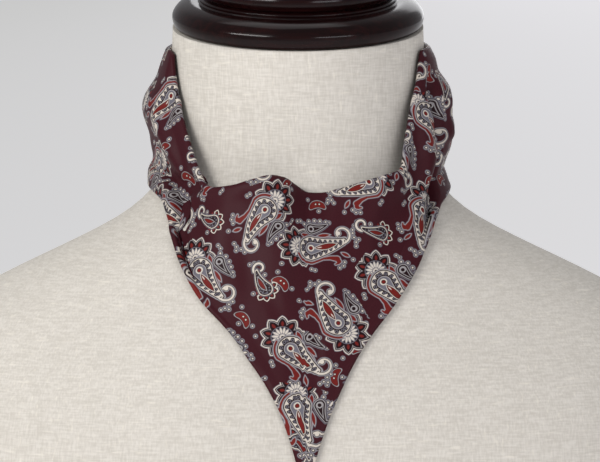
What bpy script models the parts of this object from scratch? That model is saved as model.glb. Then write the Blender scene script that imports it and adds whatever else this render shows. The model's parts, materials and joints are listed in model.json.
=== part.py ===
"""A silk neck scarf tied round a limbless dress form.

The scarf is a square folded corner to corner: its folded edge runs round the neck, its point lies on
the chest, and its two ends are knotted at the nape. The dress form is a linen-covered bust with a
turned wooden neck cap. +Z is up, the front faces -Y, and the origin is the middle of the flat base.
"""

import math

import bmesh
import bpy
import numpy as np
from mathutils import Matrix, Vector

# Lengths below are in millimetres and angles in degrees; MM turns a length into metres.
# An angle is measured round the neck's axis from the front, towards +X.
MM = 0.001

# Dress form
NECK_CUT_HEIGHT = 530.0  # middle of the neck's cut, where the cap sits
NECK_CUT_TILT = 10.0  # the cut falls towards the front
ARM_PLANE = 194.0  # half the width across the flat arm ends
ARM_ROUNDING = 5.0
FORM_SEGMENTS = 48
FORM_ROW_SPACING = 30.0  # rows of facets are no further apart

# Each row is a level section of the bust: its half width, its reach to the front and back, and how
# square it is (2 is an ellipse).
FORM_COLUMNS = ("height", "half_width", "front", "back", "squareness")
FORM_SECTIONS = [
    (0.0, 146.0, 95.0, 93.0, 2.30),
    (3.0, 149.0, 98.0, 96.0, 2.30),
    (60.0, 151.0, 99.0, 97.0, 2.30),
    (130.0, 159.0, 103.0, 100.0, 2.30),
    (190.0, 168.0, 109.0, 105.0, 2.35),
    (235.0, 174.0, 114.5, 109.5, 2.40),
    (262.0, 180.0, 117.0, 112.0, 2.40),
    (290.0, 190.0, 117.5, 114.5, 2.40),
    (320.0, 201.0, 114.0, 116.5, 2.35),
    (345.0, 206.0, 108.0, 116.5, 2.30),
    (363.0, 202.0, 101.5, 115.0, 2.20),
    (378.0, 191.0, 95.0, 113.0, 2.10),
    (391.0, 174.0, 89.0, 110.5, 2.05),
    (402.0, 155.0, 84.0, 107.5, 2.00),
    (412.0, 135.0, 79.0, 104.5, 2.00),
    (421.0, 116.0, 74.5, 101.5, 2.00),
    (429.0, 100.0, 70.5, 98.5, 2.00),
    (436.0, 88.0, 67.0, 95.5, 2.00),
    (443.0, 79.0, 63.5, 92.0, 2.00),
    (450.0, 72.5, 60.5, 88.0, 2.00),
    (458.0, 68.5, 58.0, 83.5, 2.00),
    (468.0, 66.3, 56.6, 79.0, 2.00),
    (482.0, 65.0, 57.2, 74.0, 2.00),
    (500.0, 64.0, 59.2, 69.3, 2.00),
    (516.0, 63.3, 60.9, 65.5, 2.00),
    (530.0, 62.8, 62.8, 62.8, 2.00),
    (546.0, 62.8, 65.4, 60.2, 2.00),
]

# Turned neck cap, from the knob on its axis down to the seat: each row is a radius and a height
# above the neck's cut.
CAP_GAP = 0.3
CAP_STEPS = 40
CAP_PROFILE = [
    (0.0, 58.0),
    (4.4, 57.0),
    (7.8, 54.2),
    (9.0, 50.4),
    (8.0, 46.6),
    (5.6, 43.9),
    (6.6, 42.3),
    (15.0, 40.6),
    (25.0, 37.2),
    (32.0, 32.4),
    (34.0, 29.6),
    (41.5, 28.2),
    (47.2, 25.0),
    (49.4, 20.6),
    (48.6, 17.0),
    (47.4, 15.7),
    (49.4, 14.9),
    (49.4, 13.5),
    (50.2, 12.9),
    (54.5, 12.9),
    (59.6, 10.9),
    (62.4, 7.6),
    (63.0, 4.6),
    (62.2, 1.4),
    (61.0, 0.0),
    (0.0, 0.0),
]

# Scarf
CLOTH_WALL = 1.6
CLOTH_CLEARANCE = 0.8  # from the wall's inside to the dress form
SEAM_GAP = 0.3
CLOTH_ROWS = 21
FRONT_REACH = 100.0  # the front drape ends at this angle on each side
NAPE = 180.0  # the side bands meet here, under the knot

# The folded edge round the neck: how far it stands off the form, and its height.
EDGE_COLUMNS = ("angle", "stand_off", "height")
FOLDED_EDGE = [
    (-180.0, 2.6, 513.0),
    (-171.0, 2.6, 516.5),
    (-163.0, 2.6, 523.0),
    (-150.0, 2.5, 528.0),
    (-120.0, 2.5, 524.0),
    (-105.0, 2.5, 520.5),
    (-90.0, 2.5, 519.0),
    (-80.0, 2.5, 518.5),
    (-72.0, 2.6, 516.5),
    (-68.0, 2.9, 506.5),
    (-62.0, 4.1, 494.5),
    (-55.0, 6.4, 482.7),
    (-48.0, 9.3, 471.8),
    (-42.0, 11.9, 462.4),
    (-38.5, 12.4, 455.5),
    (-34.0, 13.0, 453.4),
    (-25.5, 16.0, 454.7),
    (-17.5, 17.6, 457.4),
    (-11.0, 17.0, 459.0),
    (-5.0, 13.4, 457.6),
    (-0.5, 6.9, 453.9),
    (5.0, 2.8, 450.7),
    (10.0, 2.8, 450.7),
    (16.0, 5.1, 452.3),
    (25.5, 9.8, 455.7),
    (35.5, 12.3, 459.3),
    (42.0, 12.0, 461.0),
    (44.5, 11.4, 463.5),
    (47.0, 9.9, 471.0),
    (50.5, 8.1, 480.5),
    (54.0, 6.5, 490.0),
    (61.0, 4.2, 502.0),
    (66.0, 3.1, 513.0),
    (70.0, 2.6, 518.5),
    (80.0, 2.5, 519.5),
    (90.0, 2.5, 519.8),
    (106.0, 2.5, 521.5),
    (130.0, 2.5, 527.5),
    (150.0, 2.5, 529.0),
    (163.0, 2.6, 524.5),
    (171.0, 2.6, 517.0),
    (180.0, 2.6, 513.0),
]

# How the cloth falls from that edge. It leaves the edge by out and rise and comes down on the form
# at rest, with a pull towards lean and lift. It lies on the form from there to its hem.
FALL_COLUMNS = ("angle", "out", "rise", "lean", "lift", "rest")
FALL = [
    (0.0, 5.0, -6.0, -21.5, 60.0, 350.0),
    (4.0, 5.0, -6.0, -21.5, 60.0, 350.0),
    (7.5, 5.0, -6.0, -22.0, 59.0, 351.5),
    (11.0, 5.0, -6.0, -22.0, 56.0, 358.0),
    (16.0, 5.0, -6.0, -22.0, 48.0, 369.0),
    (21.0, 5.0, -6.0, -20.0, 40.0, 382.0),
    (26.0, 5.0, -6.0, -17.0, 32.0, 396.0),
    (33.0, 5.0, -6.5, -14.0, 24.0, 411.0),
    (41.0, 5.0, -7.0, -12.0, 18.0, 426.0),
    (50.0, 5.0, -8.0, -7.0, 18.0, 437.0),
    (60.0, 5.0, -9.0, 3.0, 20.0, 446.0),
    (75.0, 5.0, -11.0, 7.0, 20.0, 454.0),
    (90.0, 5.0, -13.0, 9.0, 18.0, 458.0),
    (110.0, 5.0, -12.0, 9.0, 18.0, 464.0),
    (130.0, 4.5, -8.0, 5.0, 17.0, 473.0),
    (150.0, 3.5, -4.0, 3.0, 13.0, 486.0),
    (168.0, 2.5, -1.0, 1.0, 7.0, 500.0),
    (180.0, 2.0, -1.0, 0.5, 5.0, 503.0),
]
LYING_LEAST = 9.0  # it lies on the form at least this far above its hem
LYING_BLEND = 4.0

# The hem: its height round the form. The point is a little to one side of the middle.
HEM_COLUMNS = ("angle", "height")
HEM = [
    (-180.0, 497.0),
    (-168.0, 492.0),
    (-150.0, 477.0),
    (-130.0, 464.0),
    (-110.0, 455.0),
    (-90.0, 450.0),
    (-75.0, 447.5),
    (-63.0, 444.0),
    (-54.0, 437.0),
    (-46.0, 428.0),
    (-36.5, 412.6),
    (-29.3, 399.8),
    (-22.0, 389.5),
    (-17.0, 381.3),
    (-12.8, 372.3),
    (-9.6, 365.3),
    (-6.5, 357.0),
    (-4.0, 348.3),
    (-1.8, 337.5),
    (0.2, 325.5),
    (1.8, 315.0),
    (3.5, 325.5),
    (5.6, 338.0),
    (8.0, 349.0),
    (10.4, 358.0),
    (13.2, 367.0),
    (17.4, 377.6),
    (21.6, 385.8),
    (27.5, 395.4),
    (36.7, 410.6),
    (45.0, 423.5),
    (54.0, 434.5),
    (64.0, 441.5),
    (75.0, 445.5),
    (90.0, 449.0),
    (110.0, 455.0),
    (130.0, 464.0),
    (150.0, 477.0),
    (168.0, 492.0),
    (180.0, 497.0),
]

# Folds gathered towards the knot. Each runs along the scarf at one share of the way from the
# folded edge to the hem, and fades out towards the front between the two angles.
FOLD_COLUMNS = ("side", "share", "half_width", "height", "fades_at", "full_at")
FOLDS = [
    (-1, 0.415, 0.235, 4.2, 34.0, 76.0),
    (-1, 0.9, 0.15, 3.4, 22.0, 64.0),
    (1, 0.07, 0.105, 0.9, 60.0, 84.0),
    (1, 0.31, 0.155, 4.0, 46.0, 78.0),
    (1, 0.56, 0.26, 4.0, 30.0, 70.0),
    (1, 0.93, 0.13, 3.0, 20.0, 58.0),
]
NAPE_FADE_START = 118.0  # behind this angle the folds close up and get lower
NAPE_FOLD_SHARE = 0.34

# The crease below the corner where the left band meets the front: a valley from the edge outwards.
CREASE_START = (-38.0, 0.0)  # angle, share
CREASE_END = (-66.0, 0.36)
CREASE_DEPTH = 3.0
CREASE_HALF_WIDTH = 8.0
CREASE_SPAN_PER_DEGREE = 1.3  # millimetres of cloth in one degree there
CREASE_SPAN_PER_SHARE = 95.0  # millimetres of cloth from edge to hem there

# Knot at the nape
KNOT_CENTRE = (0.0, 83.5, 504.0)
KNOT_HALF_SIZE = (17.0, 12.0, 15.5)
KNOT_SQUARENESS = 2.5
KNOT_WRAPS = 3  # rolls of cloth across its face
KNOT_WRAP_DEPTH = 0.9
KNOT_TURN = 14.0  # the rolls lean, in degrees

# The ends of the scarf, from the knot down the back of the form.
TAIL_WALL = 1.5
TAIL_STATIONS = 13
TAIL_CROSS_POINTS = 9
TAIL_COLUMNS = ("share", "across", "stand_off", "height", "half_width", "pleat")
TAIL_LEFT = [
    (0.00, -8.0, 15.0, 501.0, 7.0, 0.6),
    (0.22, -20.0, 11.0, 479.0, 9.5, 1.8),
    (0.48, -33.0, 6.5, 451.0, 14.0, 2.8),
    (0.74, -44.0, 4.6, 421.0, 14.5, 2.4),
    (1.00, -53.0, 3.4, 392.0, 1.6, 0.0),
]
TAIL_RIGHT = [
    (0.00, 8.0, 15.0, 501.0, 7.0, 0.6),
    (0.22, 18.0, 11.5, 478.0, 9.5, 1.8),
    (0.48, 27.0, 7.0, 449.0, 14.5, 3.0),
    (0.74, 33.0, 4.8, 416.0, 15.5, 2.6),
    (1.00, 36.0, 3.4, 380.0, 1.6, 0.0),
]

LINEN = ((0.70, 0.66, 0.58, 1.0), 0.9)
WALNUT = ((0.020, 0.006, 0.006, 1.0), 0.22)
SILK = ((0.085, 0.018, 0.024, 1.0), 0.42)


def table(columns, rows):
    """The rows as one array for each named column."""
    return {name: np.array([row[i] for row in rows], float) for i, name in enumerate(columns)}


def between(xs, ys, x):
    """A smooth curve through the points that never overshoots them, read at x."""
    steps = np.diff(xs)
    slopes = np.diff(ys) / steps
    tangents = np.zeros(len(xs))
    for i in range(1, len(xs) - 1):
        before, after = slopes[i - 1], slopes[i]
        if before * after > 0:
            heavy = 2 * steps[i] + steps[i - 1]
            light = steps[i] + 2 * steps[i - 1]
            tangents[i] = (heavy + light) / (heavy / before + light / after)
    tangents[0], tangents[-1] = slopes[0], slopes[-1]
    x = min(max(x, xs[0]), xs[-1])
    i = min(int(np.searchsorted(xs, x, side="right")) - 1, len(xs) - 2)
    u = (x - xs[i]) / steps[i]
    start = (1 + 2 * u) * (1 - u) ** 2 * ys[i] + u * (1 - u) ** 2 * steps[i] * tangents[i]
    end = u * u * (3 - 2 * u) * ys[i + 1] + u * u * (u - 1) * steps[i] * tangents[i + 1]
    return float(start + end)


def read(columns, key, x):
    """Every column of a table at x along its key column."""
    return {name: between(columns[key], ys, x) for name, ys in columns.items() if name != key}


def ease(x, low, high):
    """0 below low, 1 above high, and smooth between."""
    u = min(max((x - low) / (high - low), 0.0), 1.0)
    return u * u * (3 - 2 * u)


def soft_maximum(a, b):
    """The greater of two heights, with a smooth change from one to the other."""
    return (a + b + math.hypot(a - b, LYING_BLEND)) / 2


def bump(x):
    """A soft ridge, 1 at 0 and level with its surroundings beyond 1 and -1."""
    return math.cos(math.pi * x / 2) ** 2 if abs(x) < 1 else 0.0


FORM = table(FORM_COLUMNS, FORM_SECTIONS)
EDGE = table(EDGE_COLUMNS, FOLDED_EDGE)
DROP = table(FALL_COLUMNS, FALL)
HEM_LINE = table(HEM_COLUMNS, HEM)


def form_radius(angle, height):
    """How far the bust reaches from the neck's axis, before its arm ends are made flat."""
    section = read(FORM, "height", height)
    across = abs(math.sin(math.radians(angle)))
    ahead = math.cos(math.radians(angle))
    reach = section["front"] if ahead > 0 else section["back"]
    power = section["squareness"]
    total = (across / section["half_width"]) ** power + (abs(ahead) / reach) ** power
    return total ** (-1 / power)


def polar(angle, radius, height):
    """The point at an angle from the front, in millimetres."""
    turn = math.radians(angle)
    return np.array([radius * math.sin(turn), -radius * math.cos(turn), height])


def form_point(angle, height):
    return polar(angle, form_radius(angle, height), height)


def form_normal(angle, height):
    """The direction straight out of the bust's surface."""
    step_angle, step_height = 0.5, 0.5
    along = form_point(angle + step_angle, height) - form_point(angle - step_angle, height)
    up = form_point(angle, height + step_height) - form_point(angle, height - step_height)
    out = np.cross(along, up)
    return out / np.linalg.norm(out)


def flatten_arm(x):
    """x, held inside the flat arm ends with a rounded corner."""
    soft = -ARM_ROUNDING * math.log(
        math.exp(-abs(x) / ARM_ROUNDING) + math.exp(-ARM_PLANE / ARM_ROUNDING)
    )
    return math.copysign(max(soft, 0.0), x)


def grid_mesh(name, grid, closed_round=False):
    """An open surface through rows of points in millimetres."""
    shape = bmesh.new()
    rows = [[shape.verts.new(Vector(point) * MM) for point in row] for row in grid]
    for lower, upper in zip(rows, rows[1:]):
        count = len(lower)
        for i in range(count if closed_round else count - 1):
            j = (i + 1) % count
            shape.faces.new((lower[i], lower[j], upper[j], upper[i]))
    mesh = bpy.data.meshes.new(name)
    shape.to_mesh(mesh)
    shape.free()
    return mesh


def make_material(name, look):
    material = bpy.data.materials.new(name)
    material.use_nodes = True
    shader = material.node_tree.nodes["Principled BSDF"]
    shader.inputs["Base Color"].default_value = look[0]
    shader.inputs["Roughness"].default_value = look[1]
    shader.inputs["Metallic"].default_value = 0.0
    return material


def make_object(name, mesh, material, collection):
    made = bpy.data.objects.new(name, mesh)
    mesh.materials.append(material)
    collection.objects.link(made)
    mesh.shade_smooth()
    return made


def make_bust(collection, material):
    """The linen-covered bust: level sections from the flat base to the tilted cut of the neck."""
    heights = [FORM["height"][0]]
    for low, high in zip(FORM["height"], FORM["height"][1:]):
        rows = math.ceil((high - low) / FORM_ROW_SPACING)
        heights += [low + (high - low) * (k + 1) / rows for k in range(rows)]
    grid = []
    for height in heights:
        ring = []
        for i in range(FORM_SEGMENTS):
            point = form_point(360 * i / FORM_SEGMENTS, height)
            point[0] = flatten_arm(point[0])
            ring.append(point)
        grid.append(ring)
    mesh = grid_mesh("dress_form_bust", grid, closed_round=True)
    shape = bmesh.new()
    shape.from_mesh(mesh)
    tilt = Matrix.Rotation(math.radians(NECK_CUT_TILT), 3, "X")
    bmesh.ops.bisect_plane(
        shape,
        geom=shape.verts[:] + shape.edges[:] + shape.faces[:],
        plane_co=Vector((0, 0, NECK_CUT_HEIGHT * MM)),
        plane_no=tilt @ Vector((0, 0, 1)),
        clear_outer=True,
    )
    for cut_edges in (
        [e for e in shape.edges if e.is_boundary and e.verts[0].co.z < MM],
        [e for e in shape.edges if e.is_boundary and e.verts[0].co.z > MM],
    ):
        bmesh.ops.contextual_create(shape, geom=cut_edges)
    bmesh.ops.recalc_face_normals(shape, faces=shape.faces[:])
    shape.to_mesh(mesh)
    shape.free()
    bust = make_object("dress_form_bust", mesh, material, collection)
    mesh.set_sharp_from_angle(angle=math.radians(40))
    return bust


def make_cap(collection, material):
    """The turned wooden cap, seated on the neck's cut and tilted with it."""
    mesh = bpy.data.meshes.new("neck_cap")
    points = [(radius * MM, 0.0, height * MM) for radius, height in CAP_PROFILE]
    mesh.from_pydata(points, [(i, i + 1) for i in range(len(points) - 1)], [])
    cap = make_object("neck_cap", mesh, material, collection)
    turn = cap.modifiers.new("turn", "SCREW")
    turn.axis = "Z"
    turn.steps = turn.render_steps = CAP_STEPS
    turn.use_merge_vertices = True
    turn.merge_threshold = 0.00001
    turn.use_smooth_shade = True
    tilt = Matrix.Rotation(math.radians(NECK_CUT_TILT), 4, "X")
    seat = tilt @ Vector((0, 0, CAP_GAP * MM)) + Vector((0, 0, NECK_CUT_HEIGHT * MM))
    cap.matrix_world = Matrix.Translation(seat) @ tilt
    return cap


def fall_line(angle):
    """The cloth's outer face at one angle, before its folds, from the folded edge to the hem."""
    edge = read(EDGE, "angle", angle)
    fall = read(DROP, "angle", abs(angle))
    hem_height = read(HEM_LINE, "angle", angle)["height"]
    rest_height = soft_maximum(fall["rest"], hem_height + LYING_LEAST)
    lift_off = CLOTH_WALL + CLOTH_CLEARANCE
    edge_radius = form_radius(angle, edge["height"]) + edge["stand_off"]
    rest = form_point(angle, rest_height) + form_normal(angle, rest_height) * lift_off
    rest_radius = math.hypot(rest[0], rest[1])
    corners = [
        (edge_radius, edge["height"]),
        (edge_radius + fall["out"], edge["height"] + fall["rise"]),
        (rest_radius + fall["lean"], rest[2] + fall["lift"]),
        (rest_radius, rest[2]),
    ]
    line = []
    free_points = 24
    for k in range(free_points):
        u = k / free_points
        weights = ((1 - u) ** 3, 3 * u * (1 - u) ** 2, 3 * u * u * (1 - u), u**3)
        radius = sum(w * c[0] for w, c in zip(weights, corners))
        height = sum(w * c[1] for w, c in zip(weights, corners))
        line.append(polar(angle, radius, height))
    lying_points = 24
    for k in range(lying_points + 1):
        height = rest_height + (hem_height - rest_height) * k / lying_points
        line.append(form_point(angle, height) + form_normal(angle, height) * lift_off)
    return np.array(line)


def evenly(line, count):
    """The line read at evenly spaced points."""
    lengths = np.concatenate([[0], np.cumsum(np.linalg.norm(np.diff(line, axis=0), axis=1))])
    at = np.linspace(0, lengths[-1], count)
    return np.stack([np.interp(at, lengths, line[:, k]) for k in range(3)], axis=1)


def fold_height(angle, share):
    """How far the folds lift the cloth off its fall line."""
    side = -1 if angle < 0 else 1
    size = abs(angle)
    closing = 1 - (1 - NAPE_FOLD_SHARE) * ease(size, NAPE_FADE_START, NAPE)
    lifted = 0.0
    for fold_side, centre, half_width, height, fades_at, full_at in FOLDS:
        if fold_side == side:
            lifted += height * closing * ease(size, fades_at, full_at) * bump(
                (share - centre) / half_width
            )
    return lifted


def crease_depth(angle, share):
    """How far the corner crease sinks into the cloth."""
    scale = np.array([CREASE_SPAN_PER_DEGREE, CREASE_SPAN_PER_SHARE])
    start = np.array(CREASE_START) * scale
    run = np.array(CREASE_END) * scale - start
    here = np.array([angle, share]) * scale - start
    along = float(np.clip(here @ run / (run @ run), 0, 1))
    away = float(np.linalg.norm(here - along * run))
    return CREASE_DEPTH * (1 - along * along) * bump(away / CREASE_HALF_WIDTH)


def cloth_grid(angles, rows=CLOTH_ROWS):
    """The cloth's outer face: one column of points for each angle, folds included."""
    columns = [evenly(fall_line(angle), rows) for angle in angles]
    plain = np.array(columns)
    across = np.gradient(plain, axis=0)
    down = np.gradient(plain, axis=1)
    out = np.cross(down, across)
    out /= np.linalg.norm(out, axis=2, keepdims=True)
    for i, angle in enumerate(angles):
        for j in range(rows):
            share = j / (rows - 1)
            lift = fold_height(angle, share) - crease_depth(angle, share)
            plain[i, j] += out[i, j] * lift
    return plain


def column_angles(start, end):
    """Angles for the columns of cloth, closer together where its edges turn sharply."""
    point = min(HEM, key=lambda row: row[1])[0]
    finest, fine, coarse = 1.8, 3.0, 5.0
    finest_reach, fine_reach = 9.0, 62.0
    angles = [start]
    while angles[-1] < end:
        size = abs(angles[-1] - point)
        step = finest if size < finest_reach else fine if size < fine_reach else coarse
        angles.append(min(angles[-1] + step, end))
    if angles[-1] - angles[-2] < fine / 3:
        angles.pop(-2)
    if start < point < end:
        nearest = min(range(len(angles)), key=lambda i: abs(angles[i] - point))
        angles[nearest] = point
    return angles


def make_cloth(name, angles, collection, material):
    """One stretch of the scarf as a closed wall."""
    mesh = grid_mesh(name, cloth_grid(angles))
    cloth = make_object(name, mesh, material, collection)
    add_wall(cloth, CLOTH_WALL)
    return cloth


def add_wall(cloth, thickness):
    wall = cloth.modifiers.new("wall", "SOLIDIFY")
    wall.thickness = thickness * MM
    wall.offset = -1.0


def shape_knot(inflate=0.0):
    """The knot's mesh: a rounded pillow with leaning rolls across it."""
    shape = bmesh.new()
    bmesh.ops.create_uvsphere(shape, u_segments=30, v_segments=16, radius=1.0)
    turn = math.radians(KNOT_TURN)
    for vert in shape.verts:
        x, y, z = vert.co
        total = sum(abs(value) ** KNOT_SQUARENESS for value in (x, y, z))
        x, y, z = (value / total ** (1 / KNOT_SQUARENESS) for value in (x, y, z))
        across = x * math.cos(turn) + z * math.sin(turn)
        roll = KNOT_WRAP_DEPTH * (1 - math.cos(math.pi * KNOT_WRAPS * across)) / 2
        half = [size - roll + inflate for size in KNOT_HALF_SIZE]
        vert.co = Vector((x * half[0], y * half[1], z * half[2])) + Vector(KNOT_CENTRE)
    bmesh.ops.scale(shape, vec=(MM, MM, MM), verts=shape.verts[:])
    mesh = bpy.data.meshes.new("nape_knot")
    shape.to_mesh(mesh)
    shape.free()
    return mesh


def make_tail(name, rows, collection, material):
    """One end of the scarf: pleated at the knot, wider below it and pointed at its corner."""
    path = table(TAIL_COLUMNS, rows)
    centres, widths, pleats = [], [], []
    for k in range(TAIL_STATIONS):
        here = read(path, "share", k / (TAIL_STATIONS - 1))
        angle = 180 - math.degrees(math.asin(here["across"] / form_radius(180, here["height"])))
        on_form = form_point(angle, here["height"])
        out = form_normal(angle, here["height"])
        lift_off = here["stand_off"] + here["pleat"]
        centres.append(on_form + out * lift_off)
        widths.append(here["half_width"])
        pleats.append((here["pleat"], out))
    centres = np.array(centres)
    runs = np.gradient(centres, axis=0)
    grid = []
    for centre, run, half_width, (pleat, out) in zip(centres, runs, widths, pleats):
        sideways = np.cross(run / np.linalg.norm(run), out)
        sideways /= np.linalg.norm(sideways)
        row = []
        for i in range(TAIL_CROSS_POINTS):
            across = 2 * i / (TAIL_CROSS_POINTS - 1) - 1
            wave = -pleat * (1 - math.cos(2.5 * math.pi * across)) / 2
            row.append(centre + sideways * half_width * across + out * wave)
        grid.append(row)
    mesh = grid_mesh(name, grid)
    tail = make_object(name, mesh, material, collection)
    add_wall(tail, TAIL_WALL)
    return tail


def cut_with(target, cutter):
    cut = target.modifiers.new("clear_of_knot", "BOOLEAN")
    cut.operation = "DIFFERENCE"
    cut.object = cutter
    cut.solver = "EXACT"


def main():
    for old in list(bpy.data.objects):
        bpy.data.objects.remove(old, do_unlink=True)
    parts = bpy.data.collections.new("neck_scarf")
    cutters = bpy.data.collections.new("cutters")
    for collection in (parts, cutters):
        bpy.context.scene.collection.children.link(collection)
    linen = make_material("linen", LINEN)
    walnut = make_material("walnut", WALNUT)
    silk = make_material("silk", SILK)

    make_bust(parts, linen)
    make_cap(parts, walnut)
    half_gap = math.degrees(SEAM_GAP / 2 / form_radius(FRONT_REACH, 480.0))
    make_cloth(
        "front_drape",
        column_angles(-FRONT_REACH + half_gap, FRONT_REACH - half_gap),
        parts,
        silk,
    )
    left = make_cloth(
        "side_band_left", column_angles(-NAPE + half_gap, -FRONT_REACH - half_gap), parts, silk
    )
    right = make_cloth(
        "side_band_right", column_angles(FRONT_REACH + half_gap, NAPE - half_gap), parts, silk
    )
    make_object("nape_knot", shape_knot(), silk, parts)
    tail_left = make_tail("tail_left", TAIL_LEFT, parts, silk)
    tail_right = make_tail("tail_right", TAIL_RIGHT, parts, silk)

    around_knot = make_object("around_knot", shape_knot(inflate=SEAM_GAP), silk, cutters)
    around_knot.hide_render = True
    around_knot.display_type = "WIRE"
    for piece in (left, right, tail_left, tail_right):
        cut_with(piece, around_knot)


main()
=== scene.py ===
import json
import math

import bmesh
import bpy
import numpy as np
from mathutils import Matrix, Vector

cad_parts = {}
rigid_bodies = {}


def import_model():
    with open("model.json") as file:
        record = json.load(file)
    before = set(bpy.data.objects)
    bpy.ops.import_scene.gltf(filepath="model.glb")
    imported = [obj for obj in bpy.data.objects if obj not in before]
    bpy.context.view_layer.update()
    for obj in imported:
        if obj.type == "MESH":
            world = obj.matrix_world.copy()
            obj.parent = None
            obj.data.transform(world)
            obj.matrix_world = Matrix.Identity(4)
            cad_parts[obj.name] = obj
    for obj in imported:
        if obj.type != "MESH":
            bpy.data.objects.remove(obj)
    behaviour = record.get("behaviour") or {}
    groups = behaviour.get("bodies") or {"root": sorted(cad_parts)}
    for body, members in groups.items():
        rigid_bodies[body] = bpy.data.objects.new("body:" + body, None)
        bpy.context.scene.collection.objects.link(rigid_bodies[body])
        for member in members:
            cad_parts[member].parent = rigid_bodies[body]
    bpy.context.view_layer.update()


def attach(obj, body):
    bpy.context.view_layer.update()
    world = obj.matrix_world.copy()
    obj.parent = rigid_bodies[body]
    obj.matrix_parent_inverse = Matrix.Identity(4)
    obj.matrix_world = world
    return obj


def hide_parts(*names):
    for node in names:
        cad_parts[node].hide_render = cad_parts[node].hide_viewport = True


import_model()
print("frame loaded")

# Lengths are in millimetres and angles in degrees until a mesh is made. An angle is measured round
# the neck from the front, towards the viewer's right.
mm = 0.001
mapUnit = 100.0  # millimetres of cloth in one unit of its UV map


# camera

view = {
    "pivot": (1.0, 0.0, 426.8),
    "distance": 1700.0,
    "elevation": 5.0,
    "focal": 202.4,
    "sensor": 36.0,
}


def makeCamera():
    data = bpy.data.cameras.new("camera")
    data.sensor_width = view["sensor"]
    data.lens = view["focal"]
    data.clip_start, data.clip_end = 0.05, 200.0
    camera = addObject("camera", data)
    tilt = math.radians(view["elevation"])
    back = Vector((0, -math.cos(tilt), math.sin(tilt)))
    camera.location = (Vector(view["pivot"]) + back * view["distance"]) * mm
    camera.rotation_euler = (-back).to_track_quat("-Z", "Y").to_euler()
    bpy.context.scene.camera = camera
    bpy.context.scene.view_settings.view_transform = "Standard"


# small tools for meshes

def through(xs, ys, x):
    # a smooth curve through the points that never overshoots them
    xs, ys, x = (np.asarray(v, float) for v in (xs, ys, x))
    steps = np.diff(xs)
    slopes = np.diff(ys) / steps
    before, after = slopes[:-1], slopes[1:]
    heavy = 2 * steps[1:] + steps[:-1]
    light = steps[1:] + 2 * steps[:-1]
    tangents = np.zeros(len(xs))
    turning = before * after > 0
    safeBefore, safeAfter = np.where(turning, before, 1), np.where(turning, after, 1)
    tangents[1:-1] = np.where(
        turning, (heavy + light) / (heavy / safeBefore + light / safeAfter), 0
    )
    tangents[0], tangents[-1] = slopes[0], slopes[-1]
    x = np.clip(x, xs[0], xs[-1])
    i = np.clip(np.searchsorted(xs, x, side="right") - 1, 0, len(xs) - 2)
    u = (x - xs[i]) / steps[i]
    start = (1 + 2 * u) * (1 - u) ** 2 * ys[i] + u * (1 - u) ** 2 * steps[i] * tangents[i]
    end = u * u * (3 - 2 * u) * ys[i + 1] + u * u * (u - 1) * steps[i] * tangents[i + 1]
    return start + end


def columnsOf(rows):
    return np.array(rows, float).T


def unit(v):
    return v / np.maximum(np.linalg.norm(v, axis=-1, keepdims=True), 1e-9)


def ease(x, low, high):
    u = np.clip((x - low) / (high - low), 0, 1)
    return u * u * (3 - 2 * u)


def softMaximum(a, b, blend=4.0):
    return (a + b + np.sqrt((a - b) ** 2 + blend**2)) / 2


def bump(x):
    return np.where(np.abs(x) < 1, np.cos(np.pi * np.clip(x, -1, 1) / 2) ** 2, 0.0)


def polar(angle, radius, height):
    turn = np.radians(angle)
    return np.stack([radius * np.sin(turn), -radius * np.cos(turn), height + 0 * turn], axis=-1)


def roundTurns(count):
    # even steps round a circle, in radians
    return np.arange(count) * 2 * math.pi / count


def alongLine(points):
    # how far each point lies from the first one, along the line
    return np.append(0, np.cumsum(np.linalg.norm(np.diff(points, axis=0), axis=1)))


def evenly(line, count, trimStart=0.0, trimEnd=0.0):
    lengths = alongLine(line)
    at = np.linspace(trimStart, lengths[-1] - trimEnd, count)
    return np.stack([np.interp(at, lengths, line[:, k]) for k in range(3)], axis=1)


def gridMesh(name, grid, uv=None, closedAcross=False):
    # grid is rows of points; uv, in millimetres of cloth, has the same rows
    rows, count = grid.shape[:2]
    index = np.arange(rows * count).reshape(rows, count)
    following = np.roll(index, -1, axis=1)
    spans = count if closedAcross else count - 1
    quads = np.stack(
        [index[:-1, :spans], following[:-1, :spans], following[1:, :spans], index[1:, :spans]],
        axis=-1,
    ).reshape(-1, 4)
    mesh = bpy.data.meshes.new(name)
    mesh.from_pydata((grid.reshape(-1, 3) * mm).tolist(), [], quads.tolist())
    if uv is not None:
        layer = mesh.uv_layers.new(name="cloth")
        flat = uv.reshape(-1, 2)[quads.reshape(-1)] / mapUnit
        layer.data.foreach_set("uv", flat.astype(np.float32).ravel())
    mesh.shade_smooth()
    return mesh


def addObject(name, data, material=None):
    made = bpy.data.objects.new(name, data)
    bpy.context.scene.collection.objects.link(made)
    if material:
        data.materials.append(material)
    return made


def addWall(piece, thickness):
    # the mesh is the cloth's outer face, and its wall grows inwards
    wall = piece.modifiers.new("wall", "SOLIDIFY")
    wall.thickness = thickness * mm
    wall.offset = -1.0


def closeShape(shape, mesh):
    bmesh.ops.recalc_face_normals(shape, faces=shape.faces[:])
    shape.to_mesh(mesh)
    shape.free()


def finishPiece(piece, slot, *nodes):
    # modifiers are put into the mesh before the piece rides on the body
    if piece.modifiers:
        evaluated = piece.evaluated_get(bpy.context.evaluated_depsgraph_get())
        piece.data = bpy.data.meshes.new_from_object(evaluated)
        piece.modifiers.clear()
    if nodes:
        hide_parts(*nodes)
    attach(piece, "root")


# small tools for nodes; an input takes another node's socket or plain numbers

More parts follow.
